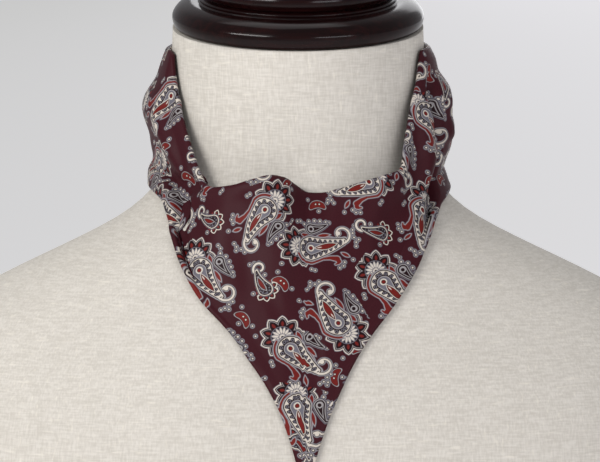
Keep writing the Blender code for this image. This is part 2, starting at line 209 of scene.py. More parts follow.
def feed(socket, value):
    if isinstance(value, bpy.types.NodeSocket):
        socket.id_data.links.new(value, socket)
    elif socket.type == "RGBA":
        socket.default_value = (*value, 1)
    elif socket.type == "VECTOR" and len(value) == 2:
        socket.default_value = (*value, 0.0)
    else:
        socket.default_value = value


def feedAll(node, inputs):
    for name, value in inputs.items():
        feed(node.inputs[name], value)


def addNode(tree, kind, inputs, **settings):
    node = tree.nodes.new(kind)
    for name, value in settings.items():
        setattr(node, name, value)
    feedAll(node, inputs)
    return node


def treeOf(*values):
    return next(value.id_data for value in values if isinstance(value, bpy.types.NodeSocket))


def number(operation, *values, clamp=False):
    settings = {"operation": operation, "use_clamp": clamp}
    node = addNode(treeOf(*values), "ShaderNodeMath", dict(enumerate(values)), **settings)
    return node.outputs[0]


def vector(operation, *values, scale=None):
    inputs = dict(enumerate(values))
    if scale is not None:
        inputs["Scale"] = scale
    node = addNode(treeOf(*values, scale), "ShaderNodeVectorMath", inputs, operation=operation)
    single = operation in ("LENGTH", "DISTANCE", "DOT_PRODUCT")
    return node.outputs["Value" if single else "Vector"]


def mixed(share, a, b, kind="RGBA"):
    first, second, result = {"RGBA": (6, 7, 2), "VECTOR": (4, 5, 1), "FLOAT": (2, 3, 0)}[kind]
    inputs = {0: share, first: a, second: b}
    return addNode(treeOf(share), "ShaderNodeMix", inputs, data_type=kind).outputs[result]


def xy(p):
    parts = addNode(treeOf(p), "ShaderNodeSeparateXYZ", {0: p}).outputs
    return parts[0], parts[1]


def point(x, y):
    return addNode(treeOf(x, y), "ShaderNodeCombineXYZ", {0: x, 1: y}).outputs[0]


def turnedBy(p, angle):
    inputs = {"Vector": p, "Angle": math.radians(angle)}
    return addNode(treeOf(p), "ShaderNodeVectorRotate", inputs, rotation_type="Z_AXIS").outputs[0]


def noise(p, scale=1.0, detail=2.0):
    inputs = {"Vector": p, "Scale": scale, "Detail": detail}
    return addNode(treeOf(p), "ShaderNodeTexNoise", inputs).outputs["Fac"]


def shareOf(value, slope, offset):
    # a straight line that stops at 0 and at 1
    return number("MULTIPLY_ADD", value, slope, offset, clamp=True)


def relief(height, depth, strength):
    inputs = {"Height": height, "Distance": depth * mm, "Strength": strength}
    return addNode(treeOf(height), "ShaderNodeBump", inputs).outputs[0]


def newMaterial(name):
    material = bpy.data.materials.new(name)
    material.use_nodes = True
    tree = material.node_tree
    return material, tree, tree.nodes["Principled BSDF"]


def placeOn(tree):
    # the place on the piece, in millimetres
    return vector("SCALE", tree.nodes.new("ShaderNodeTexCoord").outputs["Object"], scale=1 / mm)


# light and floor

studio = {
    "world": ((0.90, 0.91, 0.94), 0.43),
    # name: place, width, height, colour, watts; each lamp looks at the chest
    "lamps": {
        "keyLeft": ((-950, -1250, 1150), 700, 700, (1.0, 0.985, 0.955), 2.0),
        "stripLeft": ((-960, -990, 985), 860, 130, (1.0, 0.985, 0.97), 12.8),
        "fillRight": ((840, -1350, 780), 900, 180, (0.96, 0.95, 1.0), 5.8),
        "topSoft": ((-100, 150, 1600), 800, 800, (1.0, 1.0, 1.0), 3.2),
        "backRim": ((250, 1300, 900), 800, 800, (0.98, 0.98, 1.0), 3.0),
    },
    "aim": (0, 0, 450),
    "floorReach": 90000.0,
    # painted shading of the backdrop: painted shade on the left, painted light on the right
    "floorPaintedShading": ((0.75, 0.745, 0.73), (1.0, 0.985, 1.0)),
    "floorTurn": 3200.0,  # half the width over which the painted shade becomes the painted light
    "floorGlow": 0.39,  # a light of its own, so that the backdrop stays even
}


def makeLights():
    world = bpy.data.worlds.new("softRoom")
    bpy.context.scene.world = world
    world.use_nodes = True
    colour, strength = studio["world"]
    feedAll(world.node_tree.nodes["Background"], {"Color": colour, "Strength": strength})
    for name, (place, width, height, colour, watts) in studio["lamps"].items():
        lamp = bpy.data.lights.new(name, "AREA")
        lamp.shape = "RECTANGLE"
        lamp.size, lamp.size_y = width * mm, height * mm
        lamp.color = colour
        lamp.energy = watts
        stand = addObject(name, lamp)
        stand.location = Vector(place) * mm
        aim = Vector(studio["aim"]) - Vector(place)
        stand.rotation_euler = aim.to_track_quat("-Z", "Y").to_euler()


def makeFloor():
    reach, turn = studio["floorReach"] * mm, studio["floorTurn"]
    mesh = bpy.data.meshes.new("floor")
    corners = [(-reach, -reach, 0), (reach, -reach, 0), (reach, reach, 0), (-reach, reach, 0)]
    mesh.from_pydata(corners, [], [(0, 1, 2, 3)])
    material, tree, shader = newMaterial("paleFloor")
    # the floor's colour and glow carry painted shade on the left and painted light on the right
    inputs = {"Value": xy(placeOn(tree))[0], "From Min": -turn, "From Max": turn}
    share = addNode(tree, "ShaderNodeMapRange", inputs, interpolation_type="SMOOTHSTEP")
    tone = mixed(share.outputs["Result"], *studio["floorPaintedShading"])
    feedAll(shader, {
        "Base Color": tone, "Emission Color": tone, "Emission Strength": studio["floorGlow"],
        "Roughness": 1.0, "Specular IOR Level": 0.0,
    })
    floor = addObject("floor", mesh, material)


makeCamera()
makeLights()
makeFloor()
print("camera, lights and floor made")


# the print

inks = {
    "ground": (0.037, 0.0056, 0.0092),
    "dark": (0.013, 0.0038, 0.0052),
    "red": (0.128, 0.0115, 0.0095),
    "cream": (0.53, 0.48, 0.42),
    "grey": (0.125, 0.12, 0.142),
    "pale": (0.29, 0.272, 0.275),
}

repeat = {
    "tile": (88.0, 140.0),
    "anchor": (-45.1, 409.4),  # where the first motif lies on the cloth
    "turn": 3.3,  # the rows run a little down to the right
    "scale": 1.12,
    "edge": 5.0,  # how sharply an ink ends
    # middle of each motif in millimetres, its turn, and -1 where it is the other way round
    "large": [
        (0.0, 0.0, 124, 1), (22.4, 32.9, 50, 1), (55.9, 20.9, 182, 1), (61.0, -13.6, -46, -1),
        (46.5, -34.5, 130, 1), (48.9, -63.5, 100, 1), (79.5, 52.2, 28, -1), (8.0, -36.0, -50, -1),
        (19.0, 67.0, 75, 1),
    ],
    "small": [
        (-5.0, 28.6, 4, 1), (27.2, 0.5, -42, 1), (52.0, 63.0, 150, 1), (70.0, 88.0, 20, -1),
        (78.0, -62.0, 60, 1), (24.0, -62.0, 130, -1),
    ],
    "bean": [
        (55.3, 44.5, 0, 1), (37.8, 1.7, -40, 1), (21.4, -17.0, -50, 1), (64.5, -43.0, 80, 1),
        (28.0, -49.0, 30, 1), (76.0, -28.0, 10, 1), (-14.0, -18.0, 110, 1), (35.0, 50.0, 70, 1),
    ],
}
# inks laid over each other from the widest inwards, each with its reach past the outline
pearlInks = [("grey", 0.3), ("pale", 0.02), ("dark", -0.14), ("cream", -0.46)]


# distances to simple outlines, below zero inside

def disc(p, centre, radius):
    return number("SUBTRACT", vector("DISTANCE", p, centre), radius)


def either(*distances):
    best = distances[0]
    for distance in distances[1:]:
        best = number("MINIMUM", best, distance)
    return best


def both(*distances):
    worst = distances[0]
    for distance in distances[1:]:
        worst = number("MAXIMUM", worst, distance)
    return worst


def drop(p, a, b, radiusA, radiusB):
    run = np.subtract(b, a, dtype=float)
    offset = vector("SUBTRACT", p, a)
    part = number("MULTIPLY", vector("DOT_PRODUCT", offset, run / (run @ run)), 1.0, clamp=True)
    away = vector("LENGTH", vector("SUBTRACT", offset, vector("SCALE", run, scale=part)))
    return number("SUBTRACT", away, number("MULTIPLY_ADD", part, radiusB - radiusA, radiusA))


def almond(p, a, b, width):
    # two arcs that meet in points at a and b
    a, b = np.array(a, float), np.array(b, float)
    length = math.dist(a, b)
    radius = (length**2 + width**2) / (4 * width)
    side = np.array((a[1] - b[1], b[0] - a[0])) / length * (radius - width / 2)
    middle = (a + b) / 2
    return both(disc(p, middle + side, radius), disc(p, middle - side, radius))


def berries(p, places, radius=0.84):
    near = either(*(vector("DISTANCE", p, place) for place in places))
    return number("SUBTRACT", near, radius)


def spiral(p, centre, start, sweep, radii, widths):
    # a band that winds anticlockwise from the angle start; its radius and half width change evenly
    x, y = xy(vector("SUBTRACT", p, centre))
    angle = number("SUBTRACT", number("ARCTAN2", y, x), math.radians(start))
    angle = number("FLOORED_MODULO", angle, 2 * math.pi)
    sweep = math.radians(sweep)
    track, width = (number("MULTIPLY_ADD", angle, (b - a) / sweep, a) for a, b in (radii, widths))
    away = number("ABSOLUTE", number("SUBTRACT", vector("DISTANCE", p, centre), track))
    beyond = number("MULTIPLY_ADD", angle, radii[1], -sweep * radii[1])
    return both(number("SUBTRACT", away, width), beyond)


def bent(p, start, amount):
    # x and y, with y pushed aside by the square of x past start
    x, y = xy(p)
    past = number("SUBTRACT", x, start)
    return point(x, number("MULTIPLY_ADD", number("MULTIPLY", past, past), amount, y))


def around(p, centre, step, limit):
    # one petal of a ring, its x outwards, and a distance past the last petal either way
    x, y = xy(vector("SUBTRACT", p, centre))
    angle = number("ARCTAN2", y, x)
    half = math.radians(step / 2)
    folded = number("WRAP", angle, half, -half)
    ray = point(number("COSINE", folded), number("SINE", folded))
    steep = 3.0
    outside = number("MULTIPLY_ADD", number("ABSOLUTE", angle), steep, -steep * math.radians(limit))
    return vector("SCALE", ray, scale=vector("DISTANCE", p, centre)), outside


# each motif is a list of outlines with their inks, in the order of printing

def largeMotif(p):
    clusters = [
        (10.6, -12.0), (8.9, -12.4), (-4.6, -12.0), (-14.6, -6.6), (-14.9, -4.6),
        (-15.6, -2.4), (-16.8, -3.6), (-15.4, -0.6), (-9.8, 6.5), (-9.2, 8.2), (-7.5, 9.2),
        (-13.6, 5.4), (4.4, 9.9), (2.8, 10.4), (17.4, 8.2),
    ]
    # crown of pointed petals beyond the round end, with a rosette in it
    crown = (10.2, -0.3)
    petal, outside = around(p, crown, 37.0, 132.0)
    stroke, _ = around(p, crown, 24.0, 360.0)
    rosette = either(almond(stroke, (1.5, 0), (4.4, 0), 0.95), disc(p, crown, 1.3))
    # the body, bent towards its curl
    body = bent(p, 5.0, 0.013)
    tip, roundEnd = (-9.8, 0.0), (3.9, 0.0)
    outline = drop(body, tip, roundEnd, 1.1, 5.2)
    curl = spiral(p, (-9.6, -6.4), 92.0, 300.0, (4.2, 1.9), (0.46, 0.32))
    curl = either(curl, disc(p, (-8.2, -6.9), 0.95))
    # red scroll along one side, leaves and darts
    x, y = xy(p)
    band = number("SUBTRACT", number("ABSOLUTE", number("SUBTRACT", outline, 1.75)), 0.5)
    scroll = either(
        both(band, number("SUBTRACT", 2.4, y), number("SUBTRACT", -1.0, x)),
        drop(p, (-0.8, 5.1), (-3.8, 4.7), 0.5, 0.8), drop(p, (-3.8, 4.7), (-6.7, 5.1), 0.8, 1.25),
        disc(p, (-7.3, 6.2), 1.1), drop(p, (-7.2, 7.0), (-5.9, 7.6), 0.55, 0.35),
        almond(p, (-8.6, 2.2), (-12.2, 4.0), 1.5), almond(p, (-7.4, -4.3), (-0.6, -5.2), 1.3),
        almond(p, (-4.6, -6.4), (1.2, -6.0), 1.6), almond(p, (4.2, -5.8), (8.6, -6.6), 1.9),
    )
    # small paisley at the curl's side, with pearls outside it
    little = drop(bent(p, 2.8, 0.035), (-3.4, -9.7), (3.6, -9.4), 0.7, 2.6)
    bumps = [(-3.2, -12.4), (-0.6, -12.9), (1.9, -13.2), (4.6, -12.9), (6.9, -11.4)]
    # teeth and beads inside the outline, at even steps along it and round its end
    pitch, tooth, bead = 1.1, 2.2, 0.62
    bodyX, bodyY = xy(body)
    beyond = number("SUBTRACT", bodyX, roundEnd[0])
    turned = number("ARCTAN2", number("ABSOLUTE", bodyY), beyond)
    rounded = number("MULTIPLY_ADD", turned, -3.5, roundEnd[0] + 3.5 * math.pi / 2)
    along = mixed(number("GREATER_THAN", bodyX, roundEnd[0]), bodyX, rounded, "FLOAT")
    beadX = number("WRAP", along, pitch, -pitch)
    toothX = number("SUBTRACT", pitch, number("ABSOLUTE", beadX))
    teeth = number("SUBTRACT", number("MULTIPLY_ADD", toothX, tooth, -1.6), outline)
    slit = almond(body, (-6.8, 0), (2.2, 0), 2.3)
    return [
        (berries(p, clusters), pearlInks),
        (both(almond(petal, (0.8, 0), (9.5, 0), 5.4), outside),
         [("grey", 0.3), ("cream", 0.05), ("dark", -0.34), ("pale", -0.72), ("dark", -0.95)]),
        (almond(petal, (4.8, 0), (7.2, 0), 1.2), [("red", 0)]),
        (disc(p, crown, 4.5), [("grey", 0.3), ("dark", 0)]),
        (rosette, [("grey", 0.3), ("cream", 0)]),
        (disc(p, crown, 0.65), [("dark", 0)]),
        (scroll, [("grey", 0.46), ("pale", 0.2), ("red", -0.06)]),
        (berries(p, bumps, 0.9), pearlInks),
        (little, [("grey", 0.62), ("dark", 0.26), ("pale", 0), ("dark", -0.36), ("pale", -1.0),
                  ("dark", -1.3)]),
        (disc(p, (3.7, -9.4), 1.3), [("pale", 0), ("dark", -0.5)]),
        # the curl and the body share their outlines
        *((either(number("SUBTRACT", outline, wider), curl), [(ink, reach)])
          for ink, wider, reach in [("grey", 0.62, 0.66), ("pale", 0.62, 0.44),
                                    ("dark", 0.42, 0.26), ("cream", 0.26, 0)]),
        (outline, [("dark", -0.04)]),
        (both(teeth, outline), [("cream", 0)]),
        (disc(point(beadX, number("ADD", outline, pitch)), (0, 0), bead),
         [("grey", 0), ("dark", -0.3)]),
        (number("ADD", outline, 2.1), [("pale", 0), ("grey", -0.34)]),
        (slit, [("cream", 0.42), ("dark", 0.16), ("red", -0.06)]),
        (almond(body, (-0.6, 0), (1.6, 0), 0.5), [("cream", 0)]),
        (disc(body, (4.4, 0), 0.8), [("cream", 0.75), ("dark", 0.2), ("red", 0)]),
    ]


def smallMotif(p):
    crown = (3.4, 0.0)
    petal, outside = around(p, crown, 36.0, 90.0)
    pearls = [(-8.6, 4.2), (-9.6, 2.4), (-7.2, 5.8), (-1.4, 4.2), (1.4, -5.0)]
    body = bent(p, crown[0], -0.034)
    outline = drop(body, (-4.8, 0.0), (3.2, 0.0), 0.9, 3.1)
    mirrored = vector("MULTIPLY", p, (1.0, -1.0))
    grain = addNode(treeOf(p), "ShaderNodeTexVoronoi", {"Vector": p, "Scale": 1.15})
    specks = number("SUBTRACT", grain.outputs["Distance"], 0.4)
    return [
        (both(almond(petal, (1.0, 0), (5.6, 0), 3.0), outside), [("cream", 0.1), ("dark", -0.32)]),
        (almond(petal, (3.0, 0), (4.6, 0), 1.0), [("red", 0)]),
        (berries(p, pearls), pearlInks),
        (spiral(mirrored, (-5.3, -4.4), 92.0, 290.0, (2.9, 1.3), (0.5, 0.4)),
         [("grey", 0.55), ("dark", 0.3), ("cream", 0)]),
        (outline, [("grey", 0.6), ("dark", 0.34), ("cream", 0.14), ("dark", -0.24)]),
        (both(specks, number("ADD", outline, 0.55)), [("grey", 0)]),
        (almond(body, (-2.4, 0), (3.8, 0), 1.7), [("pale", 0.42), ("dark", 0.12), ("red", -0.1)]),
    ]


def beanMotif(p):
    body = bent(p, 0.0, 0.11)
    return [
        (berries(p, [(-4.6, 2.0), (4.7, 0.6), (0.4, -3.4)]), pearlInks),
        (drop(body, (-2.2, 0), (2.2, 0), 1.5, 1.3), [("pale", 0.5), ("dark", 0.22), ("red", 0.04)]),
        (berries(body, [(-0.9, 0.1), (0.8, 0.1)], 0.34), [("dark", 0.22), ("cream", 0)]),
    ]


def nearestMotif(cloth, kind, reach=(1, 1)):
    # the cloth as it lies about the nearest motif of a kind; reach is the motif's own half size
    width, height = repeat["tile"]
    size = 1 / repeat["scale"]
    nearest = chosen = None
    for x, y, turn, side in repeat[kind]:
        offset = vector("SUBTRACT", cloth, (x, y))
        offset = vector("WRAP", offset, (width / 2, height / 2, 1), (-width / 2, -height / 2, -1))
        local = vector("MULTIPLY", turnedBy(offset, -turn), (size, size * side, 1))
        away = vector("LENGTH", vector("MULTIPLY", local, (1 / reach[0], 1 / reach[1])))
        if chosen is None:
            nearest, chosen = away, local
        else:
            chosen = mixed(number("LESS_THAN", away, nearest), chosen, local, "VECTOR")
            nearest = number("MINIMUM", nearest, away)
    return chosen


def addPrint(flat):
    # the paisley print on millimetres of cloth; gives its colour
    cloth = turnedBy(vector("SUBTRACT", flat, repeat["anchor"]), repeat["turn"])
    layers = beanMotif(nearestMotif(cloth, "bean")) + smallMotif(nearestMotif(cloth, "small"))
    layers += largeMotif(nearestMotif(cloth, "large", (18.0, 13.5)))
    colour, sharp = inks["ground"], repeat["edge"]
    for distance, coats in layers:
        for ink, reach in coats:
            colour = mixed(shareOf(distance, -sharp, 0.5 + sharp * reach), colour, inks[ink])
    return colour


# materials

linenLook = {
    "colour": (0.592, 0.562, 0.512),
    "shade": (0.492, 0.462, 0.413),
    "slub": (0.70, 0.66, 0.58),
    "thread": 0.85,  # millimetres between threads
    "run": 7.0,  # how far a thread keeps its thickness
    "slubRun": 8.5,
    "slubs": (1.7, 1.5, 0.45),  # breadth of the thick warp and weft yarns, strength
    "gaps": (1.4, 1.4, 0.38),  # the same for thin places
    "roughness": 0.92,
    "specular": 0.12,
    "depth": 0.10,
}


def makeLinen():
    # an unbleached plain weave: warp upwards, weft round the form, with a thick yarn here and there
    material, tree, shader = newMaterial("wovenLinen")
    place = placeOn(tree)

    def yarns(along, across, upward, detail, seed):
        level, rise = (across, along) if upward else (along, across)
        moved = vector("MULTIPLY", place, (1 / level, 1 / level, 1 / rise))
        return noise(vector("ADD", moved, (seed, 0, 0)), detail=detail)

    colour, shade = linenLook["colour"], linenLook["shade"]
    thread, run, slubRun = linenLook["thread"], linenLook["run"], linenLook["slubRun"]
    weave = number("ADD", yarns(run, thread, True, 2.0, 0.0), yarns(run, thread, False, 2.0, 7.3))
    weave = number("MULTIPLY", weave, 0.5)
    warp, weft, slubShare = linenLook["slubs"]
    thick = both(yarns(slubRun, warp, True, 1.0, 3.1), yarns(slubRun, weft, False, 1.0, 9.7))
    slub = shareOf(thick, 7.0, -4.45)
    warp, weft, gapShare = linenLook["gaps"]
    thin = either(yarns(slubRun, warp, True, 1.0, 5.9), yarns(slubRun, weft, False, 1.0, 2.2))
    tone = mixed(shareOf(weave, 4.2, -1.62), shade, colour)
    tone = mixed(number("MULTIPLY", slub, slubShare), tone, linenLook["slub"])
    tone = mixed(number("MULTIPLY", shareOf(thin, -8.0, 2.9), gapShare), tone, shade)
    cloud = number("MULTIPLY_ADD", noise(place, 0.02), 0.12, 0.94)
    feedAll(shader, {
        "Base Color": vector("SCALE", tone, scale=cloud),
        "Normal": relief(number("MULTIPLY_ADD", slub, 0.6, weave), linenLook["depth"], 0.6),
        "Roughness": linenLook["roughness"], "Specular IOR Level": linenLook["specular"],
    })
    return material


woodLook = {
    "colour": (0.0054, 0.0014, 0.0015),
    "light": (0.0125, 0.0027, 0.0026),
    "grain": 2.4,  # millimetres between the darker lines of the grain
    "run": 60.0,
    "roughness": 0.18,
    "specular": 0.13,
    "coat": 0.02,
    "coatRoughness": 0.08,
}


def makeWood():
    # dark stained wood under varnish, its grain level and its gloss a little uneven
    material, tree, shader = newMaterial("darkVarnishedWood")
    place = placeOn(tree)
    fine, run = 1 / woodLook["grain"], 1 / woodLook["run"]
    grain = shareOf(noise(vector("MULTIPLY", place, (run, fine, fine)), detail=4.0), 3.2, -1.35)
    worn = 0.10
    gloss = number("MULTIPLY_ADD", noise(place, 0.12), worn, woodLook["roughness"] - worn / 2)
    feedAll(shader, {
        "Base Color": mixed(grain, woodLook["colour"], woodLook["light"]), "Roughness": gloss,
        "Specular IOR Level": woodLook["specular"], "Coat Weight": woodLook["coat"],
        "Coat Roughness": woodLook["coatRoughness"],
    })
    return material


silkLook = {
    "roughness": 0.50,
    "specular": 0.10,
    "grain": 0.19,  # how uneven the dye and the yarn are
    "twill": 0.5,  # millimetres between the diagonal ribs of the weave
    "twillDepth": 0.02,
}


def makeSilk():
    material, tree, shader = newMaterial("printedSilk")
    uv = addNode(tree, "ShaderNodeUVMap", {}, uv_map="cloth")
    flat = vector("SCALE", uv.outputs[0], scale=mapUnit)
    grain, halfRib = silkLook["grain"], silkLook["twill"] / 2
    shade = number("MULTIPLY_ADD", noise(flat, 1.25, 3.0), 2 * grain, 1 - grain)
    diagonal = vector("DOT_PRODUCT", flat, (math.sqrt(0.5), math.sqrt(0.5)))
    rib = number("DIVIDE", number("PINGPONG", diagonal, halfRib), halfRib)
    feedAll(shader, {
        "Base Color": vector("SCALE", addPrint(flat), scale=shade),
        "Normal": relief(rib, silkLook["twillDepth"], 0.35),
        "Roughness": silkLook["roughness"], "Specular IOR Level": silkLook["specular"],
    })
    return material


threadLook = {"colour": (0.05, 0.009, 0.014), "light": (0.12, 0.030, 0.040), "roughness": 0.5}


def makeThread():
    # spun silk sewing thread
    material, tree, shader = newMaterial("silkThread")
    tone = mixed(noise(placeOn(tree), 5.0), threadLook["colour"], threadLook["light"])
    feedAll(shader, {"Base Color": tone, "Roughness": threadLook["roughness"]})
    return material


linen = makeLinen()
wood = makeWood()
silk = makeSilk()
thread = makeThread()
print("materials made")


# the dress form

bust = {
    "segments": 192,
    "rowSpacing": 5.0,
    "armPlane": 194.0,
    "armRounding": 5.0,
    "cutHeight": 530.0,
    "cutTilt": 10.0,
    "baseRows": (0.0, 0.35, 1.2, 2.3, 3.4),  # the edge of the base is rounded over these
    "baseInset": 3.2,
    "baseHalf": 150.0,
    # height, half width, reach to the front and the back, squareness
    "sections": [
        (0, 146, 95, 93, 2.3), (3, 149, 98, 96, 2.3), (60, 151, 99, 97, 2.3),
        (130, 159, 103, 100, 2.3), (190, 168, 109, 105, 2.35), (235, 174, 114.5, 109.5, 2.4),
        (262, 180, 117, 112, 2.4), (290, 190, 117.5, 114.5, 2.4), (320, 201, 114, 116.5, 2.35),
        (345, 206, 108, 116.5, 2.3), (363, 202, 101.5, 115, 2.2), (378, 191, 95, 113, 2.1),
        (391, 174, 89, 110.5, 2.05), (402, 155, 84, 107.5, 2), (412, 135, 79, 104.5, 2),
        (421, 116, 74.5, 101.5, 2), (429, 100, 70.5, 98.5, 2), (436, 88, 67, 95.5, 2),
        (443, 79, 63.5, 92, 2), (450, 72.5, 60.5, 88, 2), (458, 68.5, 58, 83.5, 2),
        (468, 66.3, 56.6, 79, 2), (482, 65, 57.2, 74, 2), (500, 64, 59.2, 69.3, 2),
        (516, 63.3, 60.9, 65.5, 2), (530, 62.8, 62.8, 62.8, 2), (546, 62.8, 65.4, 60.2, 2),
    ],
}
formHeights, formHalf, formFront, formBack, formSquare = columnsOf(bust["sections"])


def formRadius(angle, height):
    turn = np.radians(angle)
    across, ahead = np.abs(np.sin(turn)), np.cos(turn)
    half = through(formHeights, formHalf, height)
    reach = np.where(
        ahead > 0, through(formHeights, formFront, height), through(formHeights, formBack, height)
    )
    power = through(formHeights, formSquare, height)
    return ((across / half) ** power + (np.abs(ahead) / reach) ** power) ** (-1 / power)


def formPoint(angle, height):
    angle, height = np.broadcast_arrays(np.asarray(angle, float), np.asarray(height, float))
    return polar(angle, formRadius(angle, height), height)


def formNormal(angle, height):
    step = 0.5
    along = formPoint(angle + step, height) - formPoint(angle - step, height)
    up = formPoint(angle, height + step) - formPoint(angle, height - step)
    return unit(np.cross(along, up))


def offForm(angle, height, lift):
    # places that lie off the form's face
    return formPoint(angle, height) + formNormal(angle, height) * lift


def makeBust():
    heights = list(bust["baseRows"])
    while heights[-1] < formHeights[-1]:
        heights.append(min(heights[-1] + bust["rowSpacing"], formHeights[-1]))
    heights = np.array(heights)
    angles = np.arange(bust["segments"]) * 360 / bust["segments"]
    grid = formPoint(angles[None, :], heights[:, None])
    inset = bust["baseInset"] * (1 - ease(heights, -2.0, bust["baseRows"][-1]))
    grid[..., :2] *= 1 - inset[:, None, None] / bust["baseHalf"]
    width, soft = bust["armPlane"], bust["armRounding"]
    x = grid[..., 0]
    held = -soft * np.log(np.exp(-np.abs(x) / soft) + math.exp(-width / soft))
    grid[..., 0] = np.sign(x) * np.maximum(held, 0)
    mesh = gridMesh("dressFormBust", grid, closedAcross=True)
    shape = bmesh.new()
    shape.from_mesh(mesh)
    tilt = Matrix.Rotation(math.radians(bust["cutTilt"]), 3, "X")
    bmesh.ops.bisect_plane(
        shape,
        geom=shape.verts[:] + shape.edges[:] + shape.faces[:],
        plane_co=Vector((0, 0, bust["cutHeight"] * mm)),
        plane_no=tilt @ Vector((0, 0, 1)),
        clear_outer=True,
    )
    for high in (False, True):
        rim = [e for e in shape.edges if e.is_boundary and (e.verts[0].co.z > 0.1) == high]
        bmesh.ops.contextual_create(shape, geom=rim)
    for face in shape.faces:
        face.smooth = len(face.verts) < 5  # the cut and the base stay flat
    closeShape(shape, mesh)
    piece = addObject("dressFormBust", mesh, linen)
    finishPiece(piece, "linen", "dress_form_bust")
    return piece


makeBust()
print("bust made")


# the neck cap

cap = {
    "steps": 128,
    "gap": 0.3,
    "sharp": 38.0,  # a turned corner steeper than this stays sharp
    # radius, height above the neck's cut, and 1 at a turned corner
    "profile": [
        (0.0, 58.0, 0), (4.4, 57.0, 0), (7.8, 54.2, 0), (9.0, 50.4, 0), (8.0, 46.6, 0),
        (5.6, 43.9, 1), (6.6, 42.3, 1), (15.0, 40.6, 0), (25.0, 37.2, 0), (32.0, 32.4, 0),
        (34.0, 29.6, 1), (41.5, 28.2, 0), (47.2, 25.0, 0), (49.4, 20.6, 0), (48.6, 17.0, 0),
        (47.4, 15.7, 1), (49.4, 14.9, 0), (49.4, 13.5, 1), (50.2, 12.9, 1), (54.5, 12.9, 0),
        (59.6, 10.9, 0), (62.4, 7.6, 0), (63.0, 4.6, 0), (62.2, 1.4, 0), (61.0, 0.0, 1),
        (0.0, 0.0, 1),
    ],
}


def smoothProfile(rows, fine=5):
    # a curve through each run between two corners
    points = np.array(rows, float)
    corners = [0] + [i for i in range(1, len(rows) - 1) if rows[i][2]] + [len(rows) - 1]
    line = [points[0, :2]]
    for first, last in zip(corners, corners[1:]):
        run = points[first:last + 1, :2]
        if len(run) == 2:
            line.append(run[1])
            continue
        before = 2 * run[0] - run[1] if first else run[1] * (-1, 1)
        run = np.vstack([before, run, 2 * run[-1] - run[-2]])
        for i in range(1, len(run) - 2):
            a, b, c, d = run[i - 1:i + 3]
            for t in np.arange(1, fine + 1) / fine:
                line.append(
                    0.5 * (2 * b + (c - a) * t + (2 * a - 5 * b + 4 * c - d) * t * t
                           + (3 * b - a - 3 * c + d) * t ** 3)
                )
    return np.array(line)


def makeCap():
    line = smoothProfile(cap["profile"])
    turns = roundTurns(cap["steps"])
    mesh = bpy.data.meshes.new("neckCap")
    shape = bmesh.new()
    rings = []
    for radius, height in line:
        if radius < 1e-6:
            rings.append([shape.verts.new((0, 0, height * mm))])
        else:
            rings.append([
                shape.verts.new(Vector((radius * math.cos(a), radius * math.sin(a), height)) * mm)
                for a in turns
            ])
    for upper, lower in zip(rings, rings[1:]):
        for i in range(cap["steps"]):
            j = (i + 1) % cap["steps"]
            if len(upper) == 1:
                shape.faces.new((upper[0], lower[i], lower[j]))
            elif len(lower) == 1:
                shape.faces.new((lower[0], upper[j], upper[i]))
            else:
                shape.faces.new((upper[i], lower[i], lower[j], upper[j]))
    tilt = Matrix.Rotation(math.radians(bust["cutTilt"]), 4, "X")
    seat = tilt @ Vector((0, 0, cap["gap"] * mm)) + Vector((0, 0, bust["cutHeight"] * mm))
    shape.transform(Matrix.Translation(seat) @ tilt)
    closeShape(shape, mesh)
    mesh.shade_smooth()
    mesh.set_sharp_from_angle(angle=math.radians(cap["sharp"]))
    piece = addObject("neckCap", mesh, wood)
    finishPiece(piece, "wood", "neck_cap")


makeCap()
print("cap made")


# the scarf round the neck

